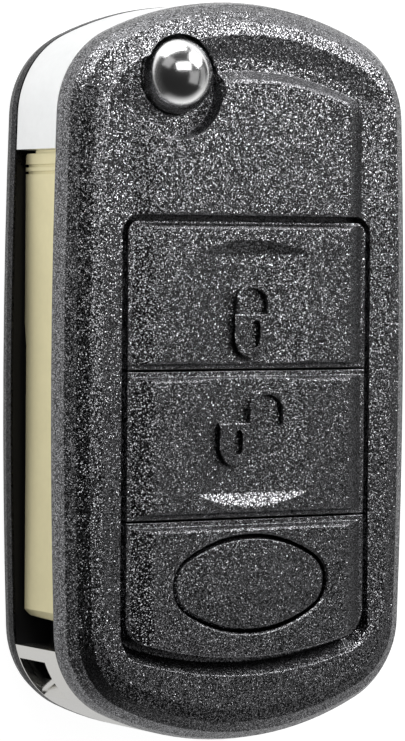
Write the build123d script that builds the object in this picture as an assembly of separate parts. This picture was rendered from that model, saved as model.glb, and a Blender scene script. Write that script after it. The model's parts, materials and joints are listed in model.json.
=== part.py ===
from build123d import *
from math import cos, hypot, pi, sin, sqrt
import os

# A folding car key: a two-part plastic fob with three buttons, a swinging metal head that
# carries the blade, a domed release button on the head's pivot and a metal key-ring lug.
# The fob lies on its back: +X is its right, +Y its head end and +Z out of its front face.
# The origin is on the back face, under the middle of the outline.

# Outline of the fob, seen from the front
half_width = 21.0
half_length = 38.0
side_radius = 700.0
end_radius = 35.0
corner_radius = 9.5

# Layers from the back face to the front
back_edge_z = 3.3
band_height = 8.2
front_edge_z = back_edge_z + band_height
rim_height = 4.25
valley_depth = 0.3
plateau_height = 4.95
rim_z = front_edge_z + rim_height
valley_z = rim_z - valley_depth
plateau_z = front_edge_z + plateau_height
rim_roll = 3.5
rim_roll_bands = 4
back_roll = 2.3
back_roll_bands = 3

# Walls and fits
shell_wall = 1.8
back_floor = 1.4
ceiling_height = 2.4
front_ceiling_z = front_edge_z + ceiling_height
face_gap = 0.15
running_fit = 0.05
button_gap = 0.65
split_gap = 0.25
part_clearance = 0.3

# The panel opening for the buttons
panel_side_inset = 5.9
panel_top_inset = 21.9
panel_low_inset = 8.2
panel_low_radius = 45.0
panel_top_corner = 1.9
panel_low_corner = 2.9
panel_half = half_width - panel_side_inset
panel_top_y = half_length - panel_top_inset
panel_low_y = panel_low_inset - half_length
lip_width = 1.25
lip_depth = 1.15
edge_chamfer = 0.18

# The raised plateau at the head end, in line with the buttons' raised faces
face_inset = 3.25
face_foot_inset = 1.15
face_half = panel_half - face_inset
face_foot_half = panel_half - face_foot_inset
plateau_end_inset = 8.15
plateau_top_y = half_length - plateau_end_inset
plateau_foot_rise = 1.0
plateau_radius = 33.0
plateau_corner = 1.2

# The valley round the raised plateau
valley_inset = 3.4
valley_slope = 2.4
valley_low_inset = 7.0
valley_low_y = valley_low_inset - half_length
valley_low_radius = 46.0
valley_corner = 6.0

# Buttons
upper_split_drop = 15.77
oval_field = 14.9
split_upper_y = panel_top_y - upper_split_drop
split_lower_y = panel_low_y + oval_field
border_z = front_edge_z + 4.0
lock_strip = 0.85
button_strip = 0.35
lower_strip = 0.55
face_bevel = 0.3
button_low_z = 12.9
button_shell = 1.2
button_pocket_top = 14.2
flange_reach = 0.7
flange_top_z = front_ceiling_z - face_gap
post_width = 2.6
post_low_z = 12.65
lock_y = (panel_top_y + split_upper_y) / 2
unlock_y = (split_upper_y + split_lower_y) / 2

# The oval button
oval_rise = 8.25
oval_y = panel_low_y + oval_rise
oval_a = 9.1
oval_b = 4.85
oval_end_radius = 3.1
oval_gap = 0.25
oval_tab_reach = 0.8
oval_tab_width = 4.0
oval_crown_radius = 118.0
oval_proud = 0.1
oval_bevel = 0.35
oval_bevel_height = 0.6
oval_top_z = plateau_z + oval_proud

# The shallow finger groove across the two upper buttons
groove_half = 6.8
groove_depth = 0.5
groove_top_margin = 3.9
groove_low_margin = 2.65
groove_run_out = 1.4
groove_top_y = panel_top_y - groove_top_margin
groove_low_y = split_lower_y + groove_low_margin

# The flip pivot, the release button and its scoop
pivot_side_inset = 12.5
pivot_end_inset = 7.8
pivot_x = pivot_side_inset - half_width
pivot_y = half_length - pivot_end_inset
dome_radius = 3.9
dome_height = 3.2
dome_rim_z = front_edge_z + 3.5
release_fit = 0.08
release_flange_radius = 4.8
release_flange_height = 0.9
release_stem_radius = 1.6
release_stem_low_z = 4.4
release_well_z = 2.2
dome_well_radius = 4.15
dome_well_z = front_edge_z + 2.9
scoop_side_offset = 0.8
scoop_end_offset = 1.0
scoop_radius = 5.6
scoop_floor_radius = 5.35
scoop_floor_z = front_edge_z + 3.2
spring_wire = 0.7
spring_turns = 3
spring_sides = 16
spring_radius = 3.9
spring_end_gap = 0.1

# The blade head, which turns on the pivot
head_inset = 0.05
head_half_length = 7.77
head_end_y = pivot_y - head_half_length
sweep_clearance = 0.3
sweep_wall = 1.44
head_floor = 1.4
spring_chamber_radius = 5.1
pivot_ring_outer = 6.15
pivot_ring_drop = 0.8
pivot_boss_radius = 2.6
pivot_boss_rise = 1.9

# The key-ring lug at the other end of the slot
lug_end_inset = 10.0
lug_top_y = lug_end_inset - half_length
lug_depth = 6.0
lug_tail_depth = 2.2
lug_body_length = 8.5
lug_tail_length = 20.0
lug_body_end_x = lug_body_length - half_width
lug_tail_end_x = lug_tail_length - half_width
lug_wall = 1.3
lug_pocket_depth = 4.9
lug_face_gap = 0.05
lug_case_wall = 0.8
window_margin = 1.4
window_length = 4.0
window_low_z = front_edge_z - 7.95
window_high_z = front_edge_z - 2.85
crossbar_radius = 0.32
crossbar_front = (2.45 - half_width, 7.0 - half_length)
crossbar_back = (4.0 - half_width, 5.2 - half_length)

# The blade
blade_side_inset = 1.4
blade_face_x = blade_side_inset - half_width
blade_thickness = 2.5
blade_back_z = 3.95
blade_front_z = 10.9
blade_tip_gap = 2.7
blade_tip_y = lug_top_y + blade_tip_gap
blade_tip_rake = 0.35
shank_length = 17.4
shank_step_y = head_end_y - shank_length
shank_drop = 0.3
shank_blend = 2.5
blade_end_gap = 0.2
tongue_inset_x = 0.25
tongue_inset_z = 1.3
tongue_length = 6.4
tip_bevel = 0.75
tip_bevel_length = 1.0
tip_corner = 0.6
shoulder_corner = 0.45
stop_groove_offsets = (1.25, 1.95)
stop_groove_width = 0.28
stop_groove_depth = 0.22
pin_radius = 0.6
pin_rise = 3.57
pin_y = head_end_y + pin_rise

# The side slot that the blade folds into
slot_depth = 4.9
slot_wall_x = slot_depth - half_width
liner_thickness = 0.5
liner_floor = 0.6
liner_edge_inset = 0.25
slot_back_wall = 0.8

# Electronics
board_clearance = 0.4
board_low_z = 8.9
board_thickness = 1.0
board_high_z = board_low_z + board_thickness
board_top_margin = 2.6
board_top_y = panel_top_y - board_top_margin
room_low_x = slot_wall_x + liner_thickness + slot_back_wall
room_high_x = half_width - shell_wall
switch_size = 4.6
switch_body = 1.1
switch_plunger = 0.45
plunger_width = 2.2
membrane_thickness = 0.35
membrane_pad = 4.2
membrane_pad_rise = 0.35
membrane_inset = 0.25
cell_x = (room_low_x + room_high_x) / 2
cell_y = unlock_y
cell_radius = 10.0
cell_height = 3.2
cell_contact_gap = 0.4
clip_width = 5.0
clip_metal = 0.3
contact_size = 6.0
post_size = 3.2
post_side_inset = 3.3
post_top_inset = 4.0
post_low_inset = 18.0
board_posts = (
    (room_low_x + post_side_inset, board_top_y - post_top_inset),
    (room_high_x - post_side_inset - board_clearance, post_low_inset - half_length),
)
transponder_size = (7.5, 6.0, 3.0)
transponder_side_inset = 1.0
transponder_end_inset = 17.5
chip_size = (6.0, 6.0, 0.9)
chip_side_inset = 5.6
chip_rise = 6.8
crystal_size = (5.0, 3.0, 0.9)
crystal_rise = 7.0
antenna_width = 2.4
antenna_wire = 0.6
antenna_length = 26.0
antenna_top_margin = 2.5


def side_meets(inset, end_y, end_r):
    """Where the right side arc meets an end arc of radius end_r whose far point is at end_y."""
    side_r = side_radius - inset
    side_x, centre_y = half_width - side_radius, end_y - end_r
    gap = hypot(side_x, centre_y)
    along = (side_r**2 - end_r**2 + gap**2) / (2 * gap)
    across = sqrt(side_r**2 - along**2)
    ux, uy = -side_x / gap, centre_y / gap
    return side_x + along * ux - across * uy, along * uy + across * ux


def plan(inset, low_y, low_r, low_corner):
    """The fob's plan drawn in by inset, with a low end of its own."""
    x1, y1 = side_meets(inset, half_length - inset, end_radius - inset)
    x2, y2 = side_meets(inset, -low_y, low_r)
    wide = half_width - inset
    edges = [
        ThreePointArc((x2, -y2), (wide, 0), (x1, y1)),
        ThreePointArc((x1, y1), (0, half_length - inset), (-x1, y1)),
        ThreePointArc((-x1, y1), (-wide, 0), (-x2, -y2)),
        ThreePointArc((-x2, -y2), (0, low_y), (x2, -y2)),
    ]
    face = make_face(edges)
    face = fillet(face.vertices().sort_by(Axis.Y)[-2:], corner_radius - inset)
    return fillet(face.vertices().sort_by(Axis.Y)[:2], low_corner)


def outline(inset=0.0):
    """The fob's plan, or a curve parallel to it further in."""
    return plan(inset, inset - half_length, end_radius - inset, corner_radius - inset)


def valley(inset=0.0):
    """Plan of the shallow valley round the plateau, inside the rolled rim."""
    return plan(valley_inset + inset, valley_low_y + inset, valley_low_radius - inset, valley_corner - inset)


def pad(x_half, y_low, y_high, low_radius=None, high_radius=None, low_corner=0.0, high_corner=0.0):
    """A plan with straight sides whose low and high ends are straight or bowed outwards."""
    def drop(radius):
        return radius - sqrt(radius**2 - x_half**2) if radius else 0.0

    y_l, y_h = y_low + drop(low_radius), y_high - drop(high_radius)
    right = Line((x_half, y_l), (x_half, y_h))
    left = Line((-x_half, y_h), (-x_half, y_l))
    if high_radius:
        high = ThreePointArc((x_half, y_h), (0, y_high), (-x_half, y_h))
    else:
        high = Line((x_half, y_h), (-x_half, y_h))
    if low_radius:
        low = ThreePointArc((-x_half, y_l), (0, y_low), (x_half, y_l))
    else:
        low = Line((-x_half, y_l), (x_half, y_l))
    face = make_face([right, high, left, low])
    if low_corner:
        face = fillet(face.vertices().sort_by(Axis.Y)[:2], low_corner)
    if high_corner:
        face = fillet(face.vertices().sort_by(Axis.Y)[-2:], high_corner)
    return face


def panel(inset=0.0):
    """The opening for the buttons, or a curve parallel to it further in."""
    return pad(
        panel_half - inset, panel_low_y + inset, panel_top_y - inset,
        low_radius=panel_low_radius - inset,
        low_corner=panel_low_corner - inset * 0.5, high_corner=max(panel_top_corner - inset, 0.2),
    )


def block(x0, x1, y0, y1, z0, z1):
    return Pos((x0 + x1) / 2, (y0 + y1) / 2, (z0 + z1) / 2) * Box(x1 - x0, y1 - y0, z1 - z0)


def seated_block(x, y, size, z):
    """A block of the given size whose underside is at z, round the point x, y."""
    return block(x - size[0] / 2, x + size[0] / 2, y - size[1] / 2, y + size[1] / 2, z, z + size[2])


def rod(x, y, radius, z0, z1):
    return Pos(x, y, (z0 + z1) / 2) * Cylinder(radius, z1 - z0)


def prism(face, z0, z1):
    return extrude(Pos(0, 0, z0) * face, z1 - z0)


def region(x0, x1, y0, y1):
    return Pos((x0 + x1) / 2, (y0 + y1) / 2) * Rectangle(x1 - x0, y1 - y0)


def slope(low_face, low_z, high_face, high_z):
    return loft([Pos(0, 0, low_z) * low_face, Pos(0, 0, high_z) * high_face], ruled=True)


def rolled_block(joint_z, face_z, roll, bands):
    """The fob's plan from the joint to a face, its edge rolled over in bands to keep the facets few."""
    rise = roll if face_z > joint_z else -roll
    sections = [Pos(0, 0, joint_z) * outline()]
    for band in range(bands + 1):
        turn = band / bands * pi / 2
        sections.append(Pos(0, 0, face_z - rise + rise * sin(turn)) * outline(roll - roll * cos(turn)))
    return loft(sections, ruled=True)


def eased_top(solid):
    """Ease the edges of the topmost flat face."""
    return chamfer(solid.edges().group_by(Axis.Z)[-1], edge_chamfer)


def pivot_disc(radius):
    return Pos(pivot_x, pivot_y) * Circle(radius)


def head_reach():
    """How far the head's corners swing from the pivot."""
    corner_x = sqrt(side_radius**2 - head_end_y**2) - (side_radius - half_width)
    return hypot(corner_x + pivot_x, pivot_y - head_end_y)


far = 2 * half_length + half_width


def lug_region(grow=0.0):
    """Plan of the key-ring lug; grow widens it for the wall that holds it."""
    body = (outline() - outline(lug_depth + grow)) & region(
        -far, lug_body_end_x + grow, -far, lug_top_y + grow)
    tail = (outline() - outline(lug_tail_depth + grow)) & region(
        -far, lug_tail_end_x + grow, -far, lug_top_y + grow)
    return body + tail


def board_space(inset=0.0):
    """Plan of the room for the electronics inside the band."""
    room = outline(shell_wall + inset)
    room -= pivot_disc(head_reach() + sweep_clearance + sweep_wall + inset)
    room &= region(room_low_x + inset, far, -far, far)
    return room - lug_region(lug_case_wall + inset)


def button_space(inset=0.0):
    """Plan of the room under the front shell that takes the flanges of the buttons."""
    grow = flange_reach + part_clearance - inset
    return pad(
        panel_half + grow, panel_low_y - grow, panel_top_y + grow,
        low_radius=panel_low_radius, low_corner=panel_low_corner, high_corner=panel_top_corner,
    )


def make_front_shell():
    body = rolled_block(front_edge_z, rim_z, rim_roll, rim_roll_bands)
    body -= slope(valley(valley_slope), valley_z, valley(), rim_z)
    foot = pad(face_foot_half, 0, plateau_top_y + plateau_foot_rise,
               high_radius=plateau_radius + plateau_foot_rise, high_corner=plateau_corner + plateau_foot_rise)
    top = pad(face_half, 0, plateau_top_y, high_radius=plateau_radius, high_corner=plateau_corner)
    body += eased_top(slope(foot, valley_z, top, plateau_z) - prism(panel(), valley_z, plateau_z))

    scoop_z = (scoop_floor_z + plateau_z) / 2
    scoop = Pos(pivot_x - scoop_side_offset, pivot_y - scoop_end_offset, scoop_z) * Cone(
        scoop_floor_radius, scoop_radius, plateau_z - scoop_floor_z)
    body -= scoop & prism(outline(rim_roll), scoop_floor_z, plateau_z)
    body -= rod(pivot_x, pivot_y, dome_radius + release_fit, front_edge_z, plateau_z)
    body -= rod(pivot_x, pivot_y, dome_well_radius, dome_well_z, plateau_z)

    body -= prism(panel(), front_edge_z, plateau_z)
    lip = pad(panel_half, panel_low_y - lip_width, 0, low_radius=panel_low_radius + lip_width,
              low_corner=panel_low_corner)
    edge = pad(panel_half, panel_low_y, 0, low_radius=panel_low_radius, low_corner=panel_low_corner)
    body -= slope(edge, rim_z - lip_depth, lip, rim_z)
    body -= prism(button_space(), front_edge_z, front_ceiling_z)
    ring = pivot_disc(pivot_ring_outer) - pivot_disc(dome_radius + release_fit)
    return body + prism(ring, front_edge_z - pivot_ring_drop, front_edge_z)


def make_back_shell():
    tray = rolled_block(back_edge_z, 0, back_roll, back_roll_bands)
    wall = outline() - pivot_disc(head_reach() + sweep_clearance) - lug_region(lug_face_gap)
    slot = region(-far, slot_wall_x + liner_thickness, lug_top_y, pivot_y)
    tray += prism(wall - slot, back_edge_z, front_edge_z)
    tray -= prism(board_space(), back_floor, front_edge_z)
    tray -= prism(liner_floor_plan(), back_edge_z - liner_floor, back_edge_z)

    boss_top = back_edge_z + pivot_boss_rise
    tray += rod(pivot_x, pivot_y, pivot_boss_radius, back_edge_z - 1, boss_top)
    tray -= rod(pivot_x, pivot_y, release_stem_radius + running_fit, release_well_z, boss_top)
    for x, y in board_posts:
        tray += seated_block(x, y, (post_size, post_size, board_low_z - back_floor), back_floor)
    return tray


def liner_floor_plan():
    return (outline(liner_edge_inset) - pivot_disc(head_reach() + sweep_clearance)) & region(
        -far, slot_wall_x + liner_thickness, lug_top_y, pivot_y)


def make_slot_liner():
    floor = prism(liner_floor_plan(), back_edge_z - liner_floor, back_edge_z)
    wall = liner_floor_plan() & region(slot_wall_x, slot_wall_x + liner_thickness, -far, far)
    return floor + prism(wall, back_edge_z, front_edge_z)


def make_keyring_lug():
    low_z, high_z = back_edge_z + lug_face_gap, front_edge_z - lug_face_gap
    lug = prism(lug_region(), low_z, high_z)
    window_top_y = lug_top_y - window_margin
    pocket = (outline(lug_wall) - outline(lug_pocket_depth)) & region(
        -far, lug_body_end_x - lug_wall, -far, window_top_y)
    lug -= prism(pocket, window_low_z, window_high_z)
    window = region(-far, window_length - half_width, -far, window_top_y) - outline(lug_wall + running_fit)
    lug -= prism(window, window_low_z, window_high_z)
    front = Vector(*crossbar_front, window_high_z + crossbar_radius / 2)
    back = Vector(*crossbar_back, window_low_z - crossbar_radius / 2)
    bar = extrude(Plane(origin=front, z_dir=back - front) * Circle(crossbar_radius), (back - front).length)
    return lug + bar


def finger_groove():
    """The shallow round-bottomed scoop that both upper buttons share, running out at its ends."""
    radius = (groove_half**2 + groove_depth**2) / (2 * groove_depth)
    over = groove_depth
    wide = sqrt(radius**2 - (radius - groove_depth - over)**2)
    section = Plane.XZ * make_face([
        ThreePointArc((-wide, plateau_z + over), (0, plateau_z - groove_depth), (wide, plateau_z + over)),
        Line((wide, plateau_z + over), (-wide, plateau_z + over)),
    ])
    groove = extrude(Pos(0, groove_top_y, 0) * section, groove_top_y - groove_low_y, dir=(0, -1, 0))
    slant = hypot(groove_run_out, groove_depth)
    for side, y in ((1, groove_top_y), (-1, groove_low_y)):
        tilt = (0, side * groove_run_out / slant, groove_depth / slant)
        groove += extrude(Pos(0, y, 0) * section, 2 * slant, dir=tilt)
    return groove


def raised_face(y_low, y_high):
    """The raised face of a button: sloped sides and ends, with its upper edges eased."""
    foot = region(-face_foot_half, face_foot_half, y_low, y_high)
    top = region(-face_half, face_half, y_low + face_bevel, y_high - face_bevel)
    return slope(foot, border_z, top, plateau_z)


def button_post(y):
    """The post that presses a button's switch through the seal."""
    return seated_block(0, y, (post_width, post_width, button_pocket_top - post_low_z), post_low_z)


def make_button(y_low, y_high, post_y, low_strip, high_strip):
    """An upper button: a bordered cap with a bevelled face, a captive flange and a post."""
    band = region(-far, far, y_low, y_high)
    cap = prism(panel(button_gap) & band, button_low_z, border_z)
    cap += eased_top(raised_face(y_low + low_strip, y_high - high_strip))
    cap += prism(panel(-flange_reach) & band, button_low_z, flange_top_z)
    hollow = panel(button_gap + button_shell) & region(-far, far, y_low + button_shell, y_high - button_shell)
    cap -= prism(hollow, button_low_z, button_pocket_top)
    cap -= finger_groove()
    return cap + button_post(post_y)


def make_lock_button():
    return make_button(split_upper_y + split_gap / 2, panel_top_y + flange_reach, lock_y,
                       button_strip, lock_strip + flange_reach)


def make_unlock_button():
    return make_button(split_lower_y + split_gap / 2, split_upper_y - split_gap / 2, unlock_y,
                       button_strip, lower_strip)


def oval(grow=0.0):
    """The oval button's plan, from four arcs that meet smoothly, or one parallel to it."""
    end_x = oval_a - oval_end_radius
    long_radius = (end_x**2 + oval_b**2 - oval_end_radius**2) / (2 * (oval_b - oval_end_radius))
    drop = long_radius - oval_b
    reach = hypot(end_x, drop)
    end_r = oval_end_radius + grow
    x, y = end_x + end_r * end_x / reach, end_r * drop / reach
    a, b = oval_a + grow, oval_b + grow
    face = make_face([
        ThreePointArc((x, y), (0, b), (-x, y)), ThreePointArc((-x, y), (-a, 0), (-x, -y)),
        ThreePointArc((-x, -y), (0, -b), (x, -y)), ThreePointArc((x, -y), (a, 0), (x, y)),
    ])
    return Pos(0, oval_y) * face


def oval_tabs(grow, z0, z1):
    """The two tabs that keep the oval button in its bezel, or with grow the pockets for them."""
    reach, half = oval_a + oval_tab_reach + grow, oval_tab_width / 2 + grow
    return block(-reach, reach, oval_y - half, oval_y + half, z0, z1) - prism(oval(-button_shell), z0, z1)


def make_oval_bezel():
    y_high = split_lower_y - split_gap / 2
    band = region(-far, far, -far, y_high)
    bezel = prism(panel(button_gap) & band, button_low_z, border_z)
    face = raised_face(-far, y_high - lower_strip) & prism(panel(button_gap), border_z, plateau_z)
    bezel += eased_top(face)
    bezel += prism(panel(-flange_reach) & band, button_low_z, front_ceiling_z)
    bezel -= prism(oval(oval_gap), button_low_z, plateau_z)
    bezel -= slope(oval(oval_gap), plateau_z - edge_chamfer, oval(oval_gap + edge_chamfer), plateau_z)
    return bezel - oval_tabs(part_clearance, button_low_z, flange_top_z)


def make_oval_button():
    bevel_z = oval_top_z - oval_bevel_height
    cap = prism(oval(), button_low_z, bevel_z) + slope(oval(), bevel_z, oval(-oval_bevel), oval_top_z)
    cap &= Pos(0, oval_y, oval_top_z - oval_crown_radius) * Rot(90, 0, 0) * Sphere(oval_crown_radius)
    cap += oval_tabs(0, button_low_z, flange_top_z - face_gap)
    cap -= prism(oval(-button_shell), button_low_z, button_pocket_top)
    return cap + button_post(oval_y)


def head_plan():
    """Flush with the fob's outline both folded and swung out, so it is its own half turn."""
    shape = outline(head_inset)
    turned = Pos(2 * pivot_x, 2 * pivot_y) * Rot(0, 0, 180) * shape
    return shape & turned & region(-far, far, head_end_y, pivot_y + head_half_length)


def make_blade_head():
    low_z, high_z = back_edge_z + face_gap, front_edge_z - face_gap
    head = prism(head_plan(), low_z, high_z)
    head -= rod(pivot_x, pivot_y, spring_chamber_radius, low_z + head_floor, high_z)
    head -= rod(pivot_x, pivot_y, pivot_boss_radius + running_fit, low_z, low_z + head_floor)
    head -= rod(
        pivot_x, pivot_y, pivot_ring_outer + running_fit, front_edge_z - pivot_ring_drop - face_gap, high_z)
    head -= blade_tongue()
    return head - make_blade_pin()


def blade_tongue():
    x0, x1 = blade_face_x + tongue_inset_x, blade_face_x + blade_thickness - tongue_inset_x
    y0 = head_end_y - blade_end_gap
    return block(
        x0, x1, y0, y0 + tongue_length, blade_back_z + tongue_inset_z, blade_front_z - tongue_inset_z)


def make_blade_pin():
    x = blade_face_x + blade_thickness / 2
    return rod(x, pin_y, pin_radius, back_edge_z + face_gap, blade_front_z - tongue_inset_z)


def make_key_blade():
    """A blank on edge: its broad face looks out of the slot and its narrow edges face the shells."""
    y_top = head_end_y - blade_end_gap
    shank_z = blade_back_z - shank_drop
    points = [
        (y_top, blade_front_z), (blade_tip_y, blade_front_z), (blade_tip_y + blade_tip_rake, blade_back_z),
        (shank_step_y - shank_blend, blade_back_z), (shank_step_y, shank_z), (y_top, shank_z),
    ]
    side = make_face(Polyline(*points, close=True))
    corners = side.vertices()
    side = fillet(corners.group_by(Axis.X)[-1], shoulder_corner)
    side = fillet(side.vertices().sort_by(Axis.X)[:2], tip_corner)
    blade = extrude(Plane.YZ * side, blade_thickness)
    blade = Pos(blade_face_x, 0, 0) * blade

    for face_x, sign in ((blade_face_x, 1), (blade_face_x + blade_thickness, -1)):
        wedge = make_face(Polyline(
            (face_x - sign * tip_bevel, blade_tip_y + 2 * tip_bevel_length),
            (face_x - sign * tip_bevel, blade_tip_y - tip_bevel_length),
            (face_x + sign * 2 * tip_bevel, blade_tip_y - tip_bevel_length), close=True))
        blade -= prism(wedge, back_edge_z, front_edge_z)
    for offset in stop_groove_offsets:
        y0, y1 = y_top - offset - stop_groove_width / 2, y_top - offset + stop_groove_width / 2
        x0, x1 = blade_face_x, blade_face_x + blade_thickness
        blade -= block(x0, x0 + stop_groove_depth, y0, y1, back_edge_z, front_edge_z)
        blade -= block(x0, x1, y0, y1, back_edge_z, shank_z + stop_groove_depth)
    return blade + blade_tongue() - make_blade_pin()


def make_release_button():
    sphere_radius = (dome_radius**2 + dome_height**2) / (2 * dome_height)
    profile = make_face([
        Line((0, release_stem_low_z), (release_stem_radius, release_stem_low_z)),
        Line((release_stem_radius, release_stem_low_z), (release_stem_radius, release_flange_low_z())),
        Line((release_stem_radius, release_flange_low_z()), (release_flange_radius, release_flange_low_z())),
        Line((release_flange_radius, release_flange_low_z()),
             (release_flange_radius, release_flange_high_z())),
        Line((release_flange_radius, release_flange_high_z()), (dome_radius, release_flange_high_z())),
        Line((dome_radius, release_flange_high_z()), (dome_radius, dome_rim_z)),
        RadiusArc((dome_radius, dome_rim_z), (0, dome_rim_z + dome_height), -sphere_radius),
        Line((0, dome_rim_z + dome_height), (0, release_stem_low_z)),
    ])
    button = revolve(Plane.XZ * profile, Axis.Z)
    return Pos(pivot_x, pivot_y, 0) * button


def release_flange_high_z():
    return front_edge_z - pivot_ring_drop - part_clearance


def release_flange_low_z():
    return release_flange_high_z() - release_flange_height


def make_flip_spring():
    """The coil that throws the head open and pushes the release button up, bent in short flats."""
    wire = spring_wire
    low_z = back_edge_z + face_gap + head_floor + wire / 2 + spring_end_gap
    high_z = release_flange_low_z() - wire / 2 - spring_end_gap
    steps = spring_turns * spring_sides
    bends = [
        (spring_radius * cos(2 * pi * i / spring_sides), spring_radius * sin(2 * pi * i / spring_sides),
         (high_z - low_z) * i / steps)
        for i in range(steps + 1)
    ]
    start = Plane(origin=bends[0], z_dir=Vector(*bends[1]) - Vector(*bends[0]), x_dir=(0, 0, 1))
    coil = sweep(start * Rectangle(wire, wire), path=Polyline(*bends), transition=Transition.RIGHT)
    return Pos(pivot_x, pivot_y, low_z) * coil


def make_circuit_board():
    return prism(
        board_space(board_clearance) & region(-far, far, -far, board_top_y), board_low_z, board_high_z)


def make_switch(y):
    body = seated_block(0, y, (switch_size, switch_size, switch_body), board_high_z)
    return body + seated_block(
        0, y, (plunger_width, plunger_width, switch_plunger), board_high_z + switch_body)


def make_seal_membrane():
    high_z = front_edge_z + membrane_thickness
    sheet = prism(button_space(membrane_inset), front_edge_z, high_z)
    for y in (lock_y, unlock_y, oval_y):
        sheet += seated_block(0, y, (membrane_pad, membrane_pad, membrane_pad_rise), high_z)
    return sheet


def make_coin_cell():
    high_z = board_low_z - cell_contact_gap
    return rod(cell_x, cell_y, cell_radius, high_z - cell_height, high_z)


def make_battery_strap():
    low_z = board_low_z - cell_contact_gap - cell_height - clip_metal
    reach = cell_radius + part_clearance
    strap = block(cell_x - reach - clip_metal, cell_x + reach + clip_metal,
                  cell_y - clip_width / 2, cell_y + clip_width / 2, low_z, low_z + clip_metal)
    for side in (-1, 1):
        inner = cell_x + side * reach
        outer = inner + side * clip_metal
        strap += block(min(inner, outer), max(inner, outer), cell_y - clip_width / 2, cell_y + clip_width / 2,
                       low_z, board_low_z)
    return strap


def make_battery_contact():
    half = contact_size / 2
    return block(
        cell_x - half, cell_x + half, cell_y - half, cell_y + half, board_low_z - cell_contact_gap, board_low_z)


def make_transponder():
    x = room_high_x - transponder_side_inset - transponder_size[0] / 2
    return seated_block(x, half_length - transponder_end_inset, transponder_size, back_floor)


def make_radio_chip():
    return seated_block(panel_half - chip_side_inset, unlock_y + chip_rise, chip_size, board_high_z)


def make_crystal():
    return seated_block(
        panel_half - chip_side_inset, unlock_y + chip_rise + crystal_rise, crystal_size, board_high_z)


def make_antenna():
    x1 = room_high_x - 2 * board_clearance - antenna_wire
    x0, y1 = x1 - antenna_width, board_top_y - antenna_top_margin
    y0, z1 = y1 - antenna_length, board_high_z + antenna_wire
    loop = block(x0, x1, y0, y1, board_high_z, z1)
    return loop - block(
        x0 + antenna_wire, x1 - antenna_wire, y0 + antenna_wire, y1 - antenna_wire, board_high_z, z1)


PARTS = {
    "front_shell": make_front_shell,
    "back_shell": make_back_shell,
    "slot_liner": make_slot_liner,
    "keyring_lug": make_keyring_lug,
    "oval_bezel": make_oval_bezel,
    "lock_button": make_lock_button,
    "unlock_button": make_unlock_button,
    "oval_button": make_oval_button,
    "blade_head": make_blade_head,
    "key_blade": make_key_blade,
    "blade_pin": make_blade_pin,
    "flip_spring": make_flip_spring,
    "release_button": make_release_button,
    "seal_membrane": make_seal_membrane,
    "circuit_board": make_circuit_board,
    "lock_switch": lambda: make_switch(lock_y),
    "unlock_switch": lambda: make_switch(unlock_y),
    "oval_switch": lambda: make_switch(oval_y),
    "coin_cell": make_coin_cell,
    "battery_strap": make_battery_strap,
    "battery_contact": make_battery_contact,
    "transponder": make_transponder,
    "radio_chip": make_radio_chip,
    "crystal": make_crystal,
    "antenna": make_antenna,
}

os.makedirs("parts", exist_ok=True)
for name, make in PARTS.items():
    export_step(make(), f"parts/{name}.step")
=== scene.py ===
import json
import math

import bmesh
import bpy
from mathutils import Matrix, Vector


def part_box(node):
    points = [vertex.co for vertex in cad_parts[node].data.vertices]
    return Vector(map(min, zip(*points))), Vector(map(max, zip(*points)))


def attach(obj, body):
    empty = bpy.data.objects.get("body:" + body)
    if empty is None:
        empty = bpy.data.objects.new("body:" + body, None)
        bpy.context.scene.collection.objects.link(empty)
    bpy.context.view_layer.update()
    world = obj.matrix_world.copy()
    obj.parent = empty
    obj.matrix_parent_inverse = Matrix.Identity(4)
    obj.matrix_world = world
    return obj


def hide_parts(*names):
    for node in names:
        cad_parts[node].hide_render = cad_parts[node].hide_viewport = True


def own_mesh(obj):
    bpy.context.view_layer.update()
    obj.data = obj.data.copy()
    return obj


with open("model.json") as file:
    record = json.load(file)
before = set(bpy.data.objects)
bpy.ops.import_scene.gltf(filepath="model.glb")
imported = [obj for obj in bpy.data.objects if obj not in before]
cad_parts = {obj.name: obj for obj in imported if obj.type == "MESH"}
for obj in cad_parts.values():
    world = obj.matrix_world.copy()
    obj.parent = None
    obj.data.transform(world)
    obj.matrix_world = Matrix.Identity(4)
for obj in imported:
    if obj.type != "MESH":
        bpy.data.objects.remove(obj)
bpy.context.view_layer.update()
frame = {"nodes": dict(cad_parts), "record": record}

MM = 0.001
nodes = frame["nodes"]

# Camera, fitted to the photograph, in millimetres of the fob's frame
CAMERA_AT = (-206.71, 12.81, 333.03)
CAMERA_LOOKS_AT = (-3.022, 0.153, 11.5)
CAMERA_UP = (0.0111, 0.9994, -0.0323)
CAMERA_LENS = 179.77
SENSOR_WIDTH = 36.0
NEAREST_SEEN = 10.0

# Button face that the raised signs stand on, in millimetres
FACE_Z = 16.45
GROOVE_HALF = 6.8
GROOVE_DEPTH = 0.5

# Raised signs, in millimetres: height, rounding of the rim, depth sunk into the button, flat
# strip inside the rim, width of the shackle, slope and floor height of the keyhole
SIGN_RISE = 0.6
SIGN_EASE = 0.12
SIGN_ROOT = 0.08
SIGN_LIP = 0.06
SHACKLE_WIDTH = 0.52
KEYHOLE_SLOPE = 0.12
KEYHOLE_FLOOR = 0.02

# Middle of the plate's rounded rim, inwards and down, as shares of the rounding
RIM_MIDDLE = (0.35, 0.3)

# Foot of the keyhole, as a share of its head's width
KEYHOLE_FOOT = 0.8

# Steps along the lines of the signs
ARC_STEPS = 20
LEG_STEPS = 5
KEYHOLE_STEPS = 8
PLATE_POINTS = 72

# Edges of added pieces that stay sharp, in degrees
SHARP_ANGLE = 35

# Corner that the key-ring lug fills, the window in it and the hollow behind, in millimetres; they
# place the painted shade in the hollow
LUG_CORNER = (-11.0, -26.0)
LUG_CORNER_RADIUS = 9.5
WINDOW_TOP_Y = -29.4
WINDOW_Z = (3.55, 8.65)
WINDOW_MARGIN = 0.02
HOLLOW_STARTS = (0.75, 1.3)

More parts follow.
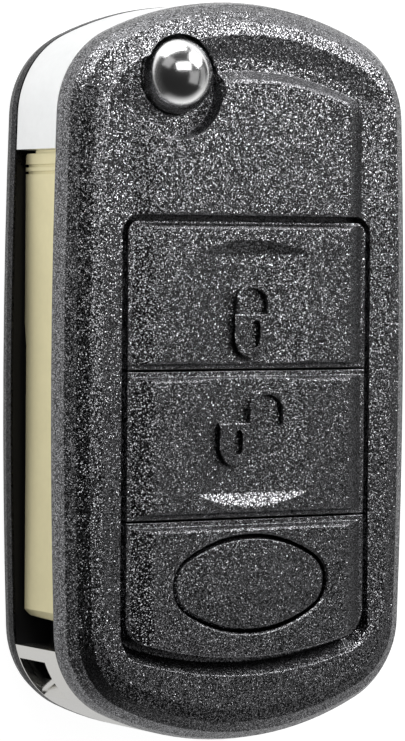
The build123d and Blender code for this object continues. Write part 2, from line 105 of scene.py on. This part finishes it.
# Spring under the release button, in millimetres
SPRING_WIRE = 0.7
SPRING_TURNS = 3
STEPS_PER_TURN = 32
WIRE_SIDES = 10

# Edge roundings that only the light follows, in metres
PLASTIC_EDGE = 0.00014
SIGN_EDGE = 0.00004
METAL_EDGE = 0.00008
EDGE_SAMPLES = 6

# Heights of the surface grains, in metres
METAL_GRAIN = 0.00002
PLASTIC_GRAIN = 0.00003
BOARD_GRAIN = 0.00002

# Strength of the grain on the lug and the circuit board
LUG_BUMP = 0.06
BOARD_BUMP = 0.15

# Detail and roughness of the noise behind the surface grains and the handling marks
GRAIN_DETAIL = (3.0, 0.6)
CLOUD_DETAIL = (4.0, 0.6)
FINE_DETAIL = (2.0, 0.5)

# Handling marks: how much finer the fine marks are than the clouds, the share of each, and the
# noise at which a mark starts and is full
FINER = 9.0
CLOUD_SHARE = 0.7
FINE_SHARE = 0.3
MARK_STARTS = (0.4, 0.62)

# What handling does: factor on the colour of metal and of sparkle plastic, factor and lift on the
# colour of other plastic, and the roughness that other plastic loses
SMUDGED_METAL = 0.93
RUBBED_SPARKLE = 1.25
WORN_PLASTIC = (1.35, 0.004)
WORN_SHINE = 0.08

# Sparkle plastic: flakes along a metre, curve of their shades, colour of the darkest flake, and
# roughness of a flake, the last two as shares
FLAKES_PER_METRE = 12500.0
SHADE_CURVE = 2.0
DARKEST_FLAKE = 0.03
FLAKE_ROUGHNESS = 0.6

# Shares of the flakes' colour and tilt that are left on an edge
EDGE_COLOR = 0.45
EDGE_TILT = 0.2

# Where an edge turns into a face, by how far the eased and the true normal agree
FACE_STARTS = (0.85, 0.99)

# Where the painted shade on steep walls gives way to a top, by how far the normal points up
TOP_STARTS = (0.2, 0.7)

CHARCOAL = (0.014, 0.014, 0.0155)
SILVER_FLAKE = (0.5, 0.5, 0.52)
DULL_FLAKE = (0.09, 0.09, 0.094)
# Painted shade on the steep walls of the raised signs
PAINTED_WALL_SHADE = (0.01, 0.01, 0.01)
# Painted shade in the hollow of the key-ring lug, darkest and lightest, and the roughness there
PAINTED_SHADE_DARK = (0.02, 0.02, 0.02)
PAINTED_SHADE_LIGHT = (0.16, 0.16, 0.16)
HOLLOW_ROUGHNESS = 0.5
LACQUER = (0.02, 0.13, 0.05)
TRACK = (0.08, 0.3, 0.1)

# Floor, in metres and shares of full light
FLOOR_SIZE = 3.0
FLOOR_Z = -0.00002
FLOOR_COLOR = (0.8, 0.8, 0.8)
FLOOR_ROUGHNESS = 0.9
SEEN_COLOR = (0.3, 0.3, 0.3)
SEEN_GLOW = 0.97
MIRRORED_GLOW = (0.55, 0.9)
MIRRORED_FADE = (-0.05, 0.05)

# Sky: even glow, glow of the low band, extra glow beyond the foot, and where these begin and end
SKY_GLOW = 0.02
BAND_GLOW = 0.05
FOOT_GLOW = 0.9
BAND_HEIGHT = (0.12, 0.45)
FOOT_WAY = (0.5, -0.87, 0.0)
FOOT_SPREAD = (0.4, 0.9)

# Lamps, all aimed at the fob: name, place, width and height in metres, power in watts
OBJECT_CENTRE = (0, 0, 0.01)
LAMPS = (
    ("main_softbox", (0.36, 0.36, 0.30), (0.3, 0.25), 1.82),
    ("head_low", (-0.06, 0.5, 0.07), (0.5, 0.13), 2.0),
    ("head_high", (0.0, 0.25, 0.48), (0.4, 0.2), 0.55),
    ("corner_low", (0.42, 0.42, 0.12), (0.3, 0.2), 0.2),
    ("right_low", (0.5, 0.0, 0.25), (0.4, 0.2), 0.07),
    ("left_fill", (-0.34, 0.36, 0.30), (0.3, 0.25), 0.10),
    ("overhead_fill", (0.28, -0.02, 0.46), (0.3, 0.3), 0.10),
)


# Shader nodes

FLOAT = "NodeSocketFloat"
VECTOR = "NodeSocketVector"


def opaque(color, factor=1.0, lift=0.0):
    """A colour with full alpha, scaled and lifted."""
    return (*[c * factor + lift for c in color], 1.0)


class Tree:
    """Adds nodes to a shader tree and joins them."""

    def __init__(self, tree):
        self.tree = tree

    def add(self, kind, **settings):
        node = self.tree.nodes.new(kind)
        for key, value in settings.items():
            setattr(node, key, value)
        return node

    def join(self, source, target):
        self.tree.links.new(source, target)

    def feed(self, socket, source):
        """Join an output to a socket, or set the socket to a plain value."""
        if hasattr(source, "is_output"):
            self.join(source, socket)
        else:
            socket.default_value = source

    def where(self, kind="Object"):
        return self.add("ShaderNodeTexCoord").outputs[kind]

    def split(self, vector):
        node = self.add("ShaderNodeSeparateXYZ")
        self.join(vector, node.inputs[0])
        return node.outputs

    def math(self, operation, a, b=0.0):
        node = self.add("ShaderNodeMath", operation=operation)
        self.feed(node.inputs[0], a)
        self.feed(node.inputs[1], b)
        return node.outputs[0]

    def vector(self, operation, a, b=None):
        node = self.add("ShaderNodeVectorMath", operation=operation)
        self.feed(node.inputs[0], a)
        if b is not None:
            self.feed(node.inputs["Scale" if operation == "SCALE" else 1], b)
        return node.outputs["Value" if operation == "DOT_PRODUCT" else "Vector"]

    def ramp(self, value, low, high, to_low=0.0, to_high=1.0):
        node = self.add("ShaderNodeMapRange")
        for name, item in (("Value", value), ("From Min", low), ("From Max", high),
                           ("To Min", to_low), ("To Max", to_high)):
            self.feed(node.inputs[name], item)
        return node.outputs["Result"]

    def mix(self, factor, a, b):
        node = self.add("ShaderNodeMix", data_type="RGBA")
        self.feed(node.inputs["Factor"], factor)
        self.feed(node.inputs["A"], a)
        self.feed(node.inputs["B"], b)
        return node.outputs["Result"]

    def noise(self, where, scale, detail, roughness):
        node = self.add("ShaderNodeTexNoise")
        for name, item in (("Vector", where), ("Scale", scale), ("Detail", detail),
                           ("Roughness", roughness)):
            self.feed(node.inputs[name], item)
        return node.outputs["Fac"]


def new_group(name, inputs, outputs):
    """A node group with its inputs, given with their defaults, and its outputs with their kinds."""
    group = bpy.data.node_groups.new(name, "ShaderNodeTree")
    for label, default in inputs.items():
        kind = VECTOR if isinstance(default, tuple) else FLOAT
        socket = group.interface.new_socket(label, in_out="INPUT", socket_type=kind)
        socket.default_value = default
    for label, kind in outputs.items():
        group.interface.new_socket(label, in_out="OUTPUT", socket_type=kind)
    tree = Tree(group)
    return group, tree, tree.add("NodeGroupInput").outputs, tree.add("NodeGroupOutput").inputs


def flake_group():
    """Metal flakes set in plastic, each with a random shade and a random tilt."""
    group, t, given, result = new_group(
        "sparkle_flakes",
        {"Flakes per metre": FLAKES_PER_METRE, "Tilt": 0.5, "Cover": 0.5,
         "Base normal": (0.0, 0.0, 1.0)},
        {"Flake": FLOAT, "Shade": FLOAT, "Normal": VECTOR})
    cells = t.add("ShaderNodeTexVoronoi", feature="F1")
    t.join(t.where(), cells.inputs["Vector"])
    t.join(given["Flakes per metre"], cells.inputs["Scale"])
    draw = t.add("ShaderNodeSeparateColor")
    t.join(cells.outputs["Color"], draw.inputs["Color"])
    bare = t.math("SUBTRACT", 1.0, given["Cover"])
    t.join(t.math("GREATER_THAN", draw.outputs["Red"], bare), result["Flake"])
    t.join(t.math("POWER", draw.outputs["Green"], SHADE_CURVE), result["Shade"])
    lean = t.vector("SUBTRACT", cells.outputs["Color"], (0.5, 0.5, 0.5))
    tilted = t.vector("ADD", t.vector("SCALE", lean, given["Tilt"]), given["Base normal"])
    t.join(t.vector("NORMALIZE", tilted), result["Normal"])
    return group


def handling_group():
    """Faint smudges and rubbed patches from being carried, between 0 and 1."""
    group, t, given, result = new_group(
        "handling_marks", {"Size": 120.0, "Amount": 0.5}, {"Mask": FLOAT})
    cloud = t.noise(t.where(), given["Size"], *CLOUD_DETAIL)
    fine = t.noise(t.where(), t.math("MULTIPLY", given["Size"], FINER), *FINE_DETAIL)
    both = t.math("ADD", t.math("MULTIPLY", cloud, CLOUD_SHARE),
                  t.math("MULTIPLY", fine, FINE_SHARE))
    t.join(t.math("MULTIPLY", t.ramp(both, *MARK_STARTS), given["Amount"]), result["Mask"])
    return group


def grain_group():
    """A fine even grain for a Bump node's height."""
    group, t, given, result = new_group(
        "fine_grain", {"Grains per metre": 2500.0, "Stretch": (1.0, 1.0, 1.0)}, {"Height": FLOAT})
    drawn = t.vector("MULTIPLY", t.where(), given["Stretch"])
    t.join(t.noise(drawn, given["Grains per metre"], *GRAIN_DETAIL), result["Height"])
    return group


FLAKES = flake_group()
HANDLING = handling_group()
GRAIN = grain_group()


# Finishes

class Finish(Tree):
    """A material with one Principled shader, and the shared effects placed in it."""

    def __init__(self, name, color, roughness, metallic=0.0, gloss=0.5):
        self.material = bpy.data.materials.new(name)
        self.material.use_nodes = True
        super().__init__(self.material.node_tree)
        self.shader = self.tree.nodes["Principled BSDF"]
        self.put("Base Color", opaque(color))
        self.put("Roughness", roughness)
        self.put("Metallic", metallic)
        self.put("Specular IOR Level", gloss)

    def put(self, label, source):
        self.feed(self.shader.inputs[label], source)

    def place(self, group, **values):
        """Place a shared effect, with each socket's name written with underscores."""
        node = self.add("ShaderNodeGroup", node_tree=group)
        for label, value in values.items():
            self.feed(node.inputs[label.replace("_", " ")], value)
        return node.outputs

    def rounded(self, radius):
        """The surface normal with every sharp edge eased by a small radius."""
        node = self.add("ShaderNodeBevel", samples=EDGE_SAMPLES)
        self.feed(node.inputs["Radius"], radius)
        return node.outputs["Normal"]

    def bump(self, height, strength, distance, normal=None):
        node = self.add("ShaderNodeBump")
        self.feed(node.inputs["Strength"], strength)
        self.feed(node.inputs["Distance"], distance)
        self.join(height, node.inputs["Height"])
        if normal is not None:
            self.join(normal, node.inputs["Normal"])
        return node.outputs["Normal"]


def sparkle_plastic(name, light, cover, tilt, roughness, gloss, edge, wall_shade=None):
    """Charcoal plastic full of fine flakes, each leaning its own way, and smoother on its edges;
    given a shade for walls, its steep walls get painted shade.
    """
    m = Finish(name, CHARCOAL, roughness, gloss=gloss)
    eased = m.rounded(edge)
    true_normal = m.add("ShaderNodeNewGeometry").outputs["Normal"]
    face = m.ramp(m.vector("DOT_PRODUCT", eased, true_normal), *FACE_STARTS)
    flakes = m.place(FLAKES, Tilt=m.ramp(face, 0.0, 1.0, tilt * EDGE_TILT, tilt),
                     Cover=cover, Base_normal=eased)
    shade = m.mix(flakes["Shade"], opaque(light, DARKEST_FLAKE), opaque(light))
    # Painted shade: steep walls darkened in their colour, fading out toward the tops
    if wall_shade:
        up = m.split(m.where("Normal"))["Z"]
        shade = m.mix(m.ramp(up, *TOP_STARTS), opaque(wall_shade), shade)
    shade = m.mix(face, opaque(light, EDGE_COLOR), shade)
    rub = m.place(HANDLING, Size=90.0, Amount=0.25)["Mask"]
    body = m.mix(rub, opaque(CHARCOAL), opaque(CHARCOAL, RUBBED_SPARKLE))
    m.put("Base Color", m.mix(flakes["Flake"], body, shade))
    m.put("Metallic", flakes["Flake"])
    m.put("Roughness", m.ramp(flakes["Flake"], 0.0, 1.0, roughness, roughness * FLAKE_ROUGHNESS))
    m.put("Normal", flakes["Normal"])
    return m.material


def plain_metal(name, color, roughness, brushed=(1.0, 1.0, 1.0), strength=0.1, smudge=0.05):
    """Plated or rolled metal with a fine brushed grain and faint handling marks."""
    m = Finish(name, color, roughness, metallic=1.0)
    marks = m.place(HANDLING, Size=160.0, Amount=0.6)["Mask"]
    m.put("Base Color", m.mix(marks, opaque(color), opaque(color, SMUDGED_METAL)))
    m.put("Roughness", m.ramp(marks, 0.0, 1.0, roughness, roughness + smudge))
    grain = m.place(GRAIN, Stretch=brushed)["Height"]
    m.put("Normal", m.bump(grain, strength, METAL_GRAIN, m.rounded(METAL_EDGE)))
    return m.material


def plain_plastic(name, color, roughness, grains=5000.0, strength=0.3):
    """Moulded plastic or rubber with a fine eroded grain."""
    m = Finish(name, color, roughness)
    marks = m.place(HANDLING, Size=110.0, Amount=0.5)["Mask"]
    m.put("Base Color", m.mix(marks, opaque(color), opaque(color, *WORN_PLASTIC)))
    m.put("Roughness", m.ramp(marks, 0.0, 1.0, roughness, roughness - WORN_SHINE))
    grain = m.place(GRAIN, Grains_per_metre=grains)["Height"]
    m.put("Normal", m.bump(grain, strength, PLASTIC_GRAIN))
    return m.material


def cast_lug(name, color, roughness):
    """Polished zinc casting, rougher and with painted shade in the hollow behind the key-ring
    window.
    """
    m = Finish(name, color, roughness, metallic=1.0)
    x, y, z = m.split(m.where())
    across = m.math("SUBTRACT", x, LUG_CORNER[0] * MM)
    along = m.math("SUBTRACT", y, LUG_CORNER[1] * MM)
    reach = m.math("SQRT", m.math("ADD", m.math("MULTIPLY", across, across),
                                  m.math("MULTIPLY", along, along)))
    depth = m.math("SUBTRACT", LUG_CORNER_RADIUS * MM, reach)
    inside = m.ramp(depth, HOLLOW_STARTS[0] * MM, HOLLOW_STARTS[1] * MM)
    off_middle = m.math("ABSOLUTE", m.math("SUBTRACT", z, sum(WINDOW_Z) / 2 * MM))
    half_height = (WINDOW_Z[1] - WINDOW_Z[0]) / 2
    within = m.math("LESS_THAN", off_middle, (half_height + WINDOW_MARGIN) * MM)
    below_top = m.math("LESS_THAN", y, (WINDOW_TOP_Y + WINDOW_MARGIN) * MM)
    # Painted shade: the hollow behind the key-ring window is darkened in the colour
    hollow = m.math("MULTIPLY", inside, m.math("MULTIPLY", within, below_top))
    marks = m.place(HANDLING, Size=700.0, Amount=1.0)["Mask"]
    painted_hollow_shade = m.mix(marks, opaque(PAINTED_SHADE_DARK), opaque(PAINTED_SHADE_LIGHT))
    m.put("Base Color", m.mix(hollow, opaque(color), painted_hollow_shade))
    m.put("Roughness", m.ramp(hollow, 0.0, 1.0, roughness, HOLLOW_ROUGHNESS))
    grain = m.place(GRAIN)["Height"]
    m.put("Normal", m.bump(grain, LUG_BUMP, METAL_GRAIN, m.rounded(METAL_EDGE)))
    return m.material


def board_laminate(name):
    """Green lacquer with copper tracks showing through it."""
    m = Finish(name, LACQUER, 0.3)
    tracks = m.add("ShaderNodeTexBrick")
    for label, value in (("Vector", m.where()), ("Scale", 260.0), ("Mortar Size", 0.03)):
        m.feed(tracks.inputs[label], value)
    m.put("Base Color", m.mix(tracks.outputs["Fac"], opaque(LACQUER), opaque(TRACK)))
    grain = m.place(GRAIN, Grains_per_metre=3000.0)["Height"]
    m.put("Normal", m.bump(grain, BOARD_BUMP, BOARD_GRAIN))
    return m.material


SPARKLE = dict(light=SILVER_FLAKE, cover=0.9, roughness=0.38, gloss=0.3)

FINISHES = {
    "sparkle_plastic": sparkle_plastic("sparkle_plastic", tilt=0.57, edge=PLASTIC_EDGE, **SPARKLE),
    "sign_plastic": sparkle_plastic("sign_plastic", tilt=0.5, edge=SIGN_EDGE, wall_shade=PAINTED_WALL_SHADE,
                                    **SPARKLE),
    "case_plastic": sparkle_plastic("case_plastic", light=DULL_FLAKE, cover=0.5, tilt=0.4,
                                    roughness=0.45, gloss=0.2, edge=PLASTIC_EDGE),
    "black_plastic": plain_plastic("black_plastic", (0.006, 0.006, 0.007), 0.5),
    "chrome": plain_metal("chrome", (0.9, 0.9, 0.9), 0.17, strength=0.02, smudge=0.03),
    "satin_chrome": plain_metal("satin_chrome", (0.9, 0.91, 0.91), 0.3, strength=0.06),
    "lug_metal": cast_lug("lug_metal", (0.8, 0.79, 0.76), 0.25),
    "blade_brass": plain_metal("blade_brass", (0.91, 0.84, 0.55), 0.5, brushed=(1.0, 0.06, 1.0),
                               strength=0.3),
    "steel": plain_metal("steel", (0.62, 0.62, 0.61), 0.22, strength=0.15),
    "copper": plain_metal("copper", (0.72, 0.36, 0.19), 0.25),
    "seal_rubber": plain_plastic("seal_rubber", (0.012, 0.012, 0.012), 0.62, grains=3500.0,
                                 strength=0.35),
    "board_green": board_laminate("board_green"),
}

SLOT_OF = {row["node"]: row["material_slot"] for row in frame["record"]["subparts"]}


def dress(piece, finish):
    """Give a mesh one finish on every face."""
    piece.data.materials.clear()
    piece.data.materials.append(FINISHES[finish])


for name, piece in nodes.items():
    dress(piece, SLOT_OF[name])
dress(nodes["keyring_lug"], "lug_metal")


# Meshes of the added pieces

def mesh_data(mesh, name):
    """Turn a closed bmesh into mesh data, with its faces outwards."""
    bmesh.ops.recalc_face_normals(mesh, faces=mesh.faces)
    data = bpy.data.meshes.new(name)
    mesh.to_mesh(data)
    mesh.free()
    return data


def skin_rings(mesh, rings):
    """Join rings of vertices into a bar with closed ends."""
    count = len(rings[0])
    for a, b in zip(rings, rings[1:]):
        for j in range(count):
            k = (j + 1) % count
            mesh.faces.new((a[j], b[j], b[k], a[k]))
    mesh.faces.new(rings[0])
    mesh.faces.new(rings[-1][::-1])


def finish_piece(name, mesh, body, finish):
    """Add a piece that rides a body, smooth but for its sharp edges."""
    piece = bpy.data.objects.new(name, mesh)
    bpy.context.scene.collection.objects.link(piece)
    dress(piece, finish)
    for polygon in mesh.polygons:
        polygon.use_smooth = True
    mesh.set_sharp_from_angle(angle=math.radians(SHARP_ANGLE))
    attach(piece, body)
    return piece


# Raised padlock signs on the two upper buttons

def face_height(x):
    """Height of the button face across the shallow finger groove, in millimetres."""
    radius = (GROOVE_HALF**2 + GROOVE_DEPTH**2) / (2 * GROOVE_DEPTH)
    if abs(x) >= GROOVE_HALF:
        return FACE_Z
    return FACE_Z - GROOVE_DEPTH + radius - math.sqrt(radius**2 - x**2)


def on_face(x, y, lift):
    """A point this far above the button face, in metres."""
    return (x * MM, y * MM, (face_height(x) + lift) * MM)


def arc_points(cx, cy, r, start, end, count):
    angles = [math.radians(start + (end - start) * i / count) for i in range(count + 1)]
    return [(cx + r * math.cos(angle), cy + r * math.sin(angle)) for angle in angles]


def arch(cx, cy, r, left_end, right_end):
    """A shackle's line: up the left leg, over the top and down the right leg."""
    left = [(cx - r, left_end + (cy - left_end) * i / LEG_STEPS) for i in range(LEG_STEPS)]
    right = [(cx + r, cy + (right_end - cy) * i / LEG_STEPS) for i in range(1, LEG_STEPS + 1)]
    return left + arc_points(cx, cy, r, 180, 0, ARC_STEPS) + right


def resample(points, count):
    """Spread count points evenly along a closed line."""
    closed = points + points[:1]
    lengths = [0.0]
    for a, b in zip(closed, closed[1:]):
        lengths.append(lengths[-1] + math.dist(a, b))
    total = lengths[-1]
    out = []
    k = 0
    for i in range(count):
        target = total * i / count
        while lengths[k + 1] < target:
            k += 1
        f = (target - lengths[k]) / max(lengths[k + 1] - lengths[k], 1e-9)
        a, b = closed[k], closed[k + 1]
        out.append((a[0] + (b[0] - a[0]) * f, a[1] + (b[1] - a[1]) * f))
    return out


def align(points, centre):
    """Start a closed line straight to the right of the centre, running anticlockwise."""
    area = sum(a[0] * b[1] - b[0] * a[1] for a, b in zip(points, points[1:] + points[:1]))
    if area < 0:
        points = points[::-1]
    turned = [abs(math.atan2(y - centre[1], x - centre[0])) for x, y in points]
    first = turned.index(min(turned))
    return points[first:] + points[:first]


def line_mesh(path, width):
    """A raised line with steep sides and a flat top along a plan path."""
    half, rise, ease = width / 2, SIGN_RISE, SIGN_EASE
    profile = [(-half, -SIGN_ROOT), (-half, rise - ease), (-half + ease, rise), (0, rise),
               (half - ease, rise), (half, rise - ease), (half, -SIGN_ROOT)]
    mesh = bmesh.new()
    rings = []
    last = len(path) - 1
    for i, (x, y) in enumerate(path):
        along = Vector(path[min(i + 1, last)]) - Vector(path[max(i - 1, 0)])
        along.normalize()
        side = Vector((-along.y, along.x))
        rings.append([mesh.verts.new(on_face(x + side.x * across, y + side.y * across, lift))
                      for across, lift in profile])
    skin_rings(mesh, rings)
    return mesh_data(mesh, "sign_line")


def plate_mesh(outer, hole):
    """A raised plate with a rounded rim and one hole, both lines given by as many points."""
    mesh = bmesh.new()

    def ring(points, shrink, lift):
        centre = sum((Vector(p) for p in points), Vector((0, 0))) / len(points)
        made = []
        for p in points:
            v = Vector(p)
            v = v - (v - centre).normalized() * shrink
            made.append(mesh.verts.new(on_face(v.x, v.y, lift)))
        return made

    rise, ease = SIGN_RISE, SIGN_EASE
    rings = [
        ring(outer, 0, -SIGN_ROOT),
        ring(outer, 0, rise - ease),
        ring(outer, ease * RIM_MIDDLE[0], rise - ease * RIM_MIDDLE[1]),
        ring(outer, ease, rise),
        ring(outer, ease + SIGN_LIP, rise),
        ring(hole, -KEYHOLE_SLOPE, rise),
        ring(hole, 0, KEYHOLE_FLOOR),
        ring(hole, 0, -SIGN_ROOT),
    ]
    count = len(outer)
    for a, b in zip(rings, rings[1:] + rings[:1]):
        for i in range(count):
            j = (i + 1) % count
            mesh.faces.new((a[i], a[j], b[j], b[i]))
    return mesh_data(mesh, "sign_plate")


def keyhole_points(x, top, low, half):
    """A keyhole: a round head and a narrower round foot."""
    foot = half * KEYHOLE_FOOT
    return (arc_points(x, top - half, half, 0, 180, KEYHOLE_STEPS)
            + arc_points(x, low + foot, foot, 180, 360, KEYHOLE_STEPS))


def padlock(body, centre_x, top_y, bottom_y, half, shackle, keyhole):
    """A padlock: a round-bottomed plate with a keyhole, and a raised arch for the shackle."""
    drop_y = bottom_y + half
    outer = [(centre_x + half, top_y), (centre_x - half, top_y)]
    outer += arc_points(centre_x, drop_y, half, 180, 360, ARC_STEPS)
    key_x, key_top, key_low, key_half = keyhole
    hole = keyhole_points(key_x, key_top, key_low, key_half)
    outer = align(resample(outer, PLATE_POINTS), (centre_x, (top_y + drop_y) / 2))
    hole = align(resample(hole, PLATE_POINTS), (key_x, (key_top + key_low) / 2))
    for part, mesh in (("plate", plate_mesh(outer, hole)),
                       ("shackle", line_mesh(shackle, SHACKLE_WIDTH))):
        finish_piece(f"{body}_sign_{part}", mesh, body, "sign_plastic")


padlock("lock", centre_x=-0.31, top_y=6.05, bottom_y=1.5, half=2.07,
        shackle=arch(-0.05, 7.12, 1.85, left_end=5.9, right_end=5.9),
        keyhole=(0.24, 5.3, 2.75, 0.45))
padlock("unlock", centre_x=-2.12, top_y=-5.05, bottom_y=-9.5, half=2.06,
        shackle=arch(1.75, -3.87, 1.95, left_end=-5.2, right_end=-5.15),
        keyhole=(-1.77, -5.88, -8.2, 0.42))


# The flip spring, a coil of round wire that shortens as the release button goes down

def coil_mesh(centre, radius, wire, low_z, high_z):
    mesh = bmesh.new()
    steps = SPRING_TURNS * STEPS_PER_TURN
    rings = []
    for i in range(steps + 1):
        turn = 2 * math.pi * i / STEPS_PER_TURN
        z = low_z + (high_z - low_z) * i / steps
        out = Vector((math.cos(turn), math.sin(turn), 0))
        ring = []
        for k in range(WIRE_SIDES):
            angle = 2 * math.pi * k / WIRE_SIDES
            point = Vector((*centre, z)) + out * (radius + wire / 2 * math.cos(angle))
            point.z += wire / 2 * math.sin(angle)
            ring.append(mesh.verts.new(point))
        rings.append(ring)
    skin_rings(mesh, rings)
    return mesh_data(mesh, "coil")


def flip_spring():
    low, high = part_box("flip_spring")
    wire = SPRING_WIRE * MM
    centre = ((low[0] + high[0]) / 2, (low[1] + high[1]) / 2)
    coil = coil_mesh(centre, (high[0] - low[0] - wire) / 2, wire,
                     low[2] + wire / 2, high[2] - wire / 2)
    piece = finish_piece("release_spring", coil, "case", "steel")
    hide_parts("flip_spring")
    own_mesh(piece)


flip_spring()


# Floor, lamps, sky and camera

def stage_floor():
    """A floor that is near white to the camera, brighter toward the head in mirror surfaces, and
    plain grey to all other light."""
    bpy.ops.mesh.primitive_grid_add(x_subdivisions=2, y_subdivisions=2, size=FLOOR_SIZE,
                                    location=(0, 0, FLOOR_Z))
    floor = bpy.context.object
    floor.name = "floor"
    paper = bpy.data.materials.new("pale_floor")
    paper.use_nodes = True
    t = Tree(paper.node_tree)
    plain = t.tree.nodes["Principled BSDF"]
    t.feed(plain.inputs["Base Color"], opaque(FLOOR_COLOR))
    t.feed(plain.inputs["Roughness"], FLOOR_ROUGHNESS)
    seen = t.add("ShaderNodeBsdfDiffuse")
    t.feed(seen.inputs["Color"], opaque(SEEN_COLOR))
    glow = t.add("ShaderNodeEmission")
    ray = t.add("ShaderNodeLightPath").outputs
    mirrored = t.ramp(t.split(t.where())["Y"], *MIRRORED_FADE, *MIRRORED_GLOW)
    t.join(t.ramp(ray["Is Camera Ray"], 0.0, 1.0, mirrored, SEEN_GLOW), glow.inputs["Strength"])
    both = t.add("ShaderNodeAddShader")
    t.join(seen.outputs[0], both.inputs[0])
    t.join(glow.outputs[0], both.inputs[1])
    direct = t.math("MAXIMUM", ray["Is Camera Ray"],
                    t.math("MAXIMUM", ray["Is Glossy Ray"], ray["Is Transmission Ray"]))
    mix = t.add("ShaderNodeMixShader")
    for place, source in enumerate((direct, plain.outputs[0], both.outputs[0])):
        t.join(source, mix.inputs[place])
    t.join(mix.outputs[0], t.tree.nodes["Material Output"].inputs["Surface"])
    floor.data.materials.append(paper)


def studio_sky():
    """Dark overhead, with a pale band low down that is brightest beyond the foot of the fob."""
    world = bpy.data.worlds.new("studio")
    bpy.context.scene.world = world
    world.use_nodes = True
    t = Tree(world.node_tree)
    background = t.tree.nodes["Background"].inputs
    where = t.where("Generated")
    low = t.ramp(t.split(where)["Z"], *BAND_HEIGHT, 1.0, 0.0)
    toward_foot = t.vector("DOT_PRODUCT", where, FOOT_WAY)
    glow = t.ramp(toward_foot, *FOOT_SPREAD, BAND_GLOW, BAND_GLOW + FOOT_GLOW)
    t.join(t.math("ADD", t.math("MULTIPLY", low, glow), SKY_GLOW), background["Strength"])
    t.feed(background["Color"], (1, 1, 1, 1))


def lamp(name, at, size, power):
    """A soft rectangle of light aimed at the fob."""
    data = bpy.data.lights.new(name, "AREA")
    data.shape = "RECTANGLE"
    data.size, data.size_y = size
    data.energy = power
    light = bpy.data.objects.new(name, data)
    light.location = at
    aim = Vector(OBJECT_CENTRE) - Vector(at)
    light.rotation_euler = aim.to_track_quat("-Z", "Y").to_euler()
    bpy.context.scene.collection.objects.link(light)


def photo_camera():
    at = Vector(CAMERA_AT) * MM
    back = (at - Vector(CAMERA_LOOKS_AT) * MM).normalized()
    right = Vector(CAMERA_UP).cross(back).normalized()
    up = back.cross(right)
    data = bpy.data.cameras.new("photo_camera")
    data.lens = CAMERA_LENS
    data.sensor_width = SENSOR_WIDTH
    data.clip_start = NEAREST_SEEN * MM
    camera = bpy.data.objects.new("photo_camera", data)
    camera.matrix_world = Matrix((
        (right.x, up.x, back.x, at.x),
        (right.y, up.y, back.y, at.y),
        (right.z, up.z, back.z, at.z),
        (0, 0, 0, 1)))
    bpy.context.scene.collection.objects.link(camera)
    bpy.context.scene.camera = camera


stage_floor()
studio_sky()
for lamp_row in LAMPS:
    lamp(*lamp_row)
photo_camera()
bpy.context.scene.view_settings.view_transform = "Standard"
